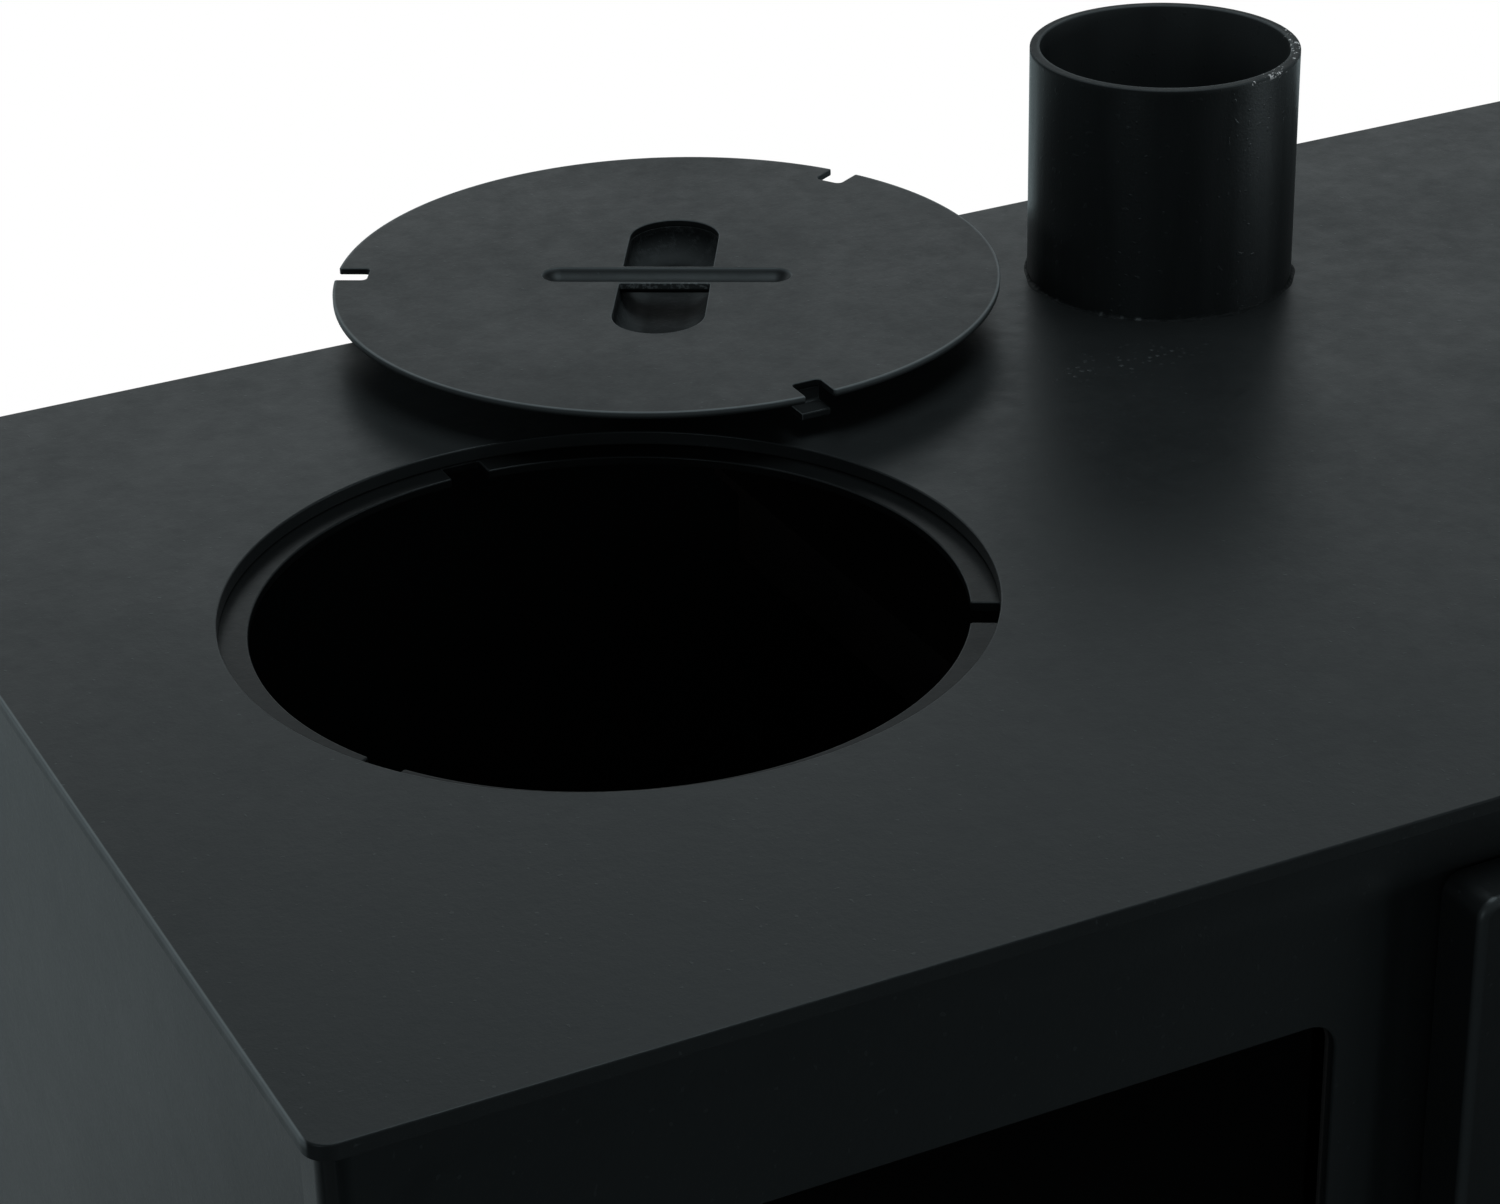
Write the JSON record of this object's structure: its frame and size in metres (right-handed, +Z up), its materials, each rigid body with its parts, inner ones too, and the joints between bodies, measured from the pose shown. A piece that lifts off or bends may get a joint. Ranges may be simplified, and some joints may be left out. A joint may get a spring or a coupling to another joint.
{
  "type": "tent stove",
  "caption": "Box-shaped steel tent stove with a cooking hole and lift-off lid, flue collar, side window, hinged door with latch and air slide, on folding legs.",
  "frame": {"origin": "on the floor under the middle of the stove", "axes": "+Z up, +X along the front to the right, -Y towards the front"},
  "size_m": [0.6, 0.4861, 0.512],
  "materials": {
    "black_paint": "matt heat-resistant black with a fine grain",
    "fire_steel": "dark scaled steel",
    "cast_grate": "rough cast",
    "fasteners": "zinc plated",
    "window": "clear heat-proof sheet, dark from the firebox behind",
    "fire_rope": "knitted glass fibre",
    "fire_board": null,
    "grip_wood": "turned and oiled",
    "foot_rubber": "matt"
  },
  "bodies": {
    "stove_body": {"top_plate": "black_paint", "hob_ring": "black_paint", "flue_collar": "black_paint", "flue_weld_bead": "black_paint", "front_panel": "black_paint", "left_side_panel": "black_paint", "right_side_panel": "black_paint", "back_panel": "black_paint", "floor_panel": "black_paint", "window_glass": "window", "window_gasket": "fire_rope", "window_retainer": "black_paint", "window_studs": "fasteners", "window_nuts": "fasteners", "baffle_plate": "fire_steel", "baffle_ledges": "fire_steel", "fire_grate": "cast_grate", "grate_rails": "fire_steel", "body_hinge_knuckles": "black_paint", "hinge_pins": "fasteners", "leg_brackets": "black_paint", "leg_pins": "fasteners"},
    "door": {"door_pan": "black_paint", "door_insulation": "fire_board", "door_liner": "fire_steel", "liner_screws": "fasteners", "door_gasket": "fire_rope", "door_hinge_knuckles": "black_paint", "latch_bush": "fasteners", "air_slide_rails": "black_paint"},
    "latch": {"latch_spindle": "fasteners", "latch_spacer": "fasteners", "latch_arm": "black_paint", "latch_grip": "grip_wood", "latch_tongue": "fasteners", "latch_nut": "fasteners"},
    "air_control": {"air_slide": "black_paint", "air_knob": "fasteners"},
    "lid": {"lid_disc": "black_paint", "lid_pocket": "black_paint", "lid_hooks": "black_paint"},
    "left_legs": {"left_front_leg": "black_paint", "left_rear_leg": "black_paint", "left_crossbar": "black_paint", "left_feet": "foot_rubber"},
    "right_legs": {"right_front_leg": "black_paint", "right_rear_leg": "black_paint", "right_crossbar": "black_paint", "right_feet": "foot_rubber"}
  },
  "joints": [
    {"name": "door_swing", "type": "hinge", "parent": "stove_body", "child": "door", "pos_m": [0.283, -0.18445, 0.297], "axis": [0, 0, 1], "range_deg": [0, 110]},
    {"name": "latch_turn", "type": "hinge", "parent": "door", "child": "latch", "pos_m": [-0.004, -0.187, 0.29675], "axis": [0, -1, 0], "range_deg": [0, 90]},
    {"name": "air_slide_move", "type": "slide", "parent": "door", "child": "air_control", "axis": [1, 0, 0], "range_m": [0, 0.012]},
    {"name": "lid_lift", "type": "slide", "parent": "stove_body", "child": "lid", "axis": [0, 0, 1], "range_m": [0, 0.15]},
    {"name": "left_legs_fold", "type": "hinge", "parent": "stove_body", "child": "left_legs", "pos_m": [-0.2515, 0, 0.133], "axis": [0, -1, 0], "range_deg": [0, 96]},
    {"name": "right_legs_fold", "type": "hinge", "parent": "stove_body", "child": "right_legs", "pos_m": [0.2515, 0, 0.133], "axis": [0, 1, 0], "range_deg": [0, 96]}
  ]
}
